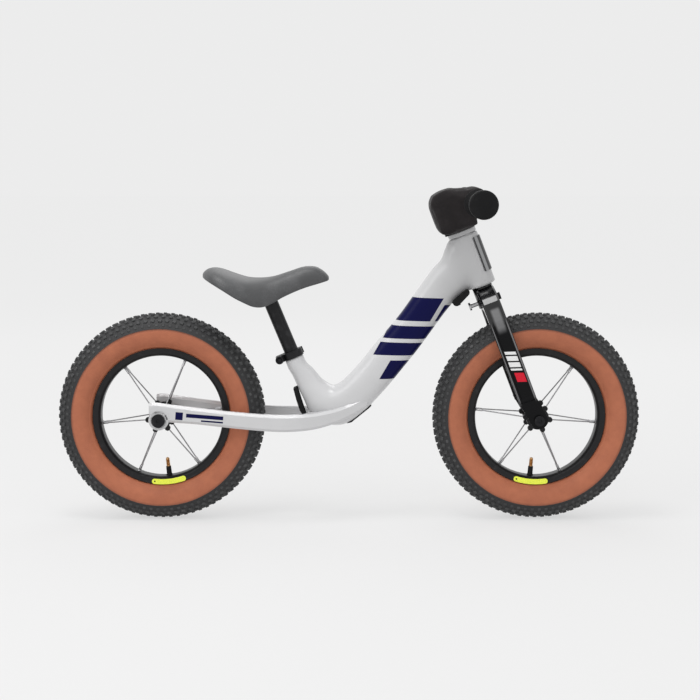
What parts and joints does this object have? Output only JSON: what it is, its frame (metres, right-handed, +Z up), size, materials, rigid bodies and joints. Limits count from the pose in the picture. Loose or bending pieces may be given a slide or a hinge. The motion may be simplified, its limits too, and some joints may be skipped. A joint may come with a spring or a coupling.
{
  "type": "balance bike",
  "caption": "Child's balance bike with a curved one-piece frame, straight-legged fork, spoked wheels with knobby tan-wall tyres, padded stem and low adjustable saddle.",
  "frame": {"origin": "on the ground, midway between the two axles, in the middle plane of the bike", "axes": "+X forward, +Y to the rider's left, +Z up"},
  "size_m": [0.9146, 0.388, 0.5227],
  "materials": {
    "frame_paint": "gloss white paint over a cast light alloy",
    "badge_metal": "brushed dark grey",
    "black_rubber": "matte",
    "bearing_steel": "ground",
    "black_alloy": "black anodised",
    "plain_steel": "zinc plated",
    "black_steel": "black oxide",
    "fork_paint": "gloss black paint over a cast light alloy",
    "pad_fabric": "padded black cloth",
    "saddle_skin": "soft matte charcoal skin",
    "base_plastic": "moulded",
    "tyre": "black tread with tan sidewalls",
    "valve_brass": "threaded brass tip on a rubber stem",
    "reflective": "yellow reflective strip"
  },
  "bodies": {
    "frame": {"frame": "frame_paint", "head_badge": "badge_metal", "tyre_guard": "black_rubber", "skid_pad": "black_rubber", "steering_stop": "black_rubber", "stop_screws": "plain_steel", "upper_headset_bearing": "bearing_steel", "lower_headset_bearing": "bearing_steel", "seat_collar": "black_alloy", "collar_skewer": "plain_steel", "skewer_nut": "black_alloy", "rear_axle": "plain_steel", "rear_axle_nuts": "black_alloy", "rear_axle_spacers": "plain_steel"},
    "fork": {"fork": "fork_paint", "steerer_tube": "black_alloy", "compression_ring": "plain_steel", "headset_cover": "frame_paint", "stem": "black_alloy", "stem_faceplate": "black_alloy", "faceplate_bolts": "black_steel", "stem_pinch_bolts": "black_steel", "top_cap": "black_alloy", "top_cap_bolt": "black_steel", "star_nut": "plain_steel", "stem_pad": "pad_fabric", "handlebar": "black_alloy", "left_grip": "black_rubber", "right_grip": "black_rubber", "crown_bolt": "plain_steel", "crown_bolt_nut": "black_steel", "front_axle": "plain_steel", "front_axle_nuts": "black_alloy", "front_axle_spacers": "plain_steel"},
    "front_wheel": {"front_tyre": "tyre", "front_inner_tube": "black_rubber", "front_rim": "black_alloy", "front_rim_tape": "black_rubber", "front_spokes": "plain_steel", "front_nipples": "plain_steel", "front_hub": "black_alloy", "front_hub_bearings": "bearing_steel", "front_valve": "valve_brass", "front_reflector": "reflective"},
    "rear_wheel": {"rear_tyre": "tyre", "rear_inner_tube": "black_rubber", "rear_rim": "black_alloy", "rear_rim_tape": "black_rubber", "rear_spokes": "plain_steel", "rear_nipples": "plain_steel", "rear_hub": "black_alloy", "rear_hub_bearings": "bearing_steel", "rear_valve": "valve_brass", "rear_reflector": "reflective"},
    "seat": {"seatpost": "black_alloy", "saddle_clamp": "black_alloy", "saddle_bolts": "black_steel", "saddle_base": "base_plastic", "saddle_cover": "saddle_skin"},
    "lever": {"clamp_lever": "black_alloy"}
  },
  "joints": [
    {"name": "steering", "type": "hinge", "parent": "frame", "child": "fork", "pos_m": [0.20747, 0, 0.36854], "axis": [-0.3584, 0, 0.9336], "range_deg": [-38, 38]},
    {"name": "front_wheel_spin", "type": "hinge", "parent": "fork", "child": "front_wheel", "pos_m": [0.2943, 0, 0.163], "axis": [0, 1, 0], "continuous": true},
    {"name": "rear_wheel_spin", "type": "hinge", "parent": "frame", "child": "rear_wheel", "pos_m": [-0.2943, 0, 0.163], "axis": [0, 1, 0], "continuous": true},
    {"name": "seat_height", "type": "slide", "parent": "frame", "child": "seat", "axis": [-0.3827, 0, 0.9239], "range_m": [-0.036, 0.026]},
    {"name": "collar_lever", "type": "hinge", "parent": "frame", "child": "lever", "pos_m": [-0.10833, 0.0155, 0.25216], "axis": [-0.3827, 0, 0.9239], "range_deg": [0, 110]}
  ]
}
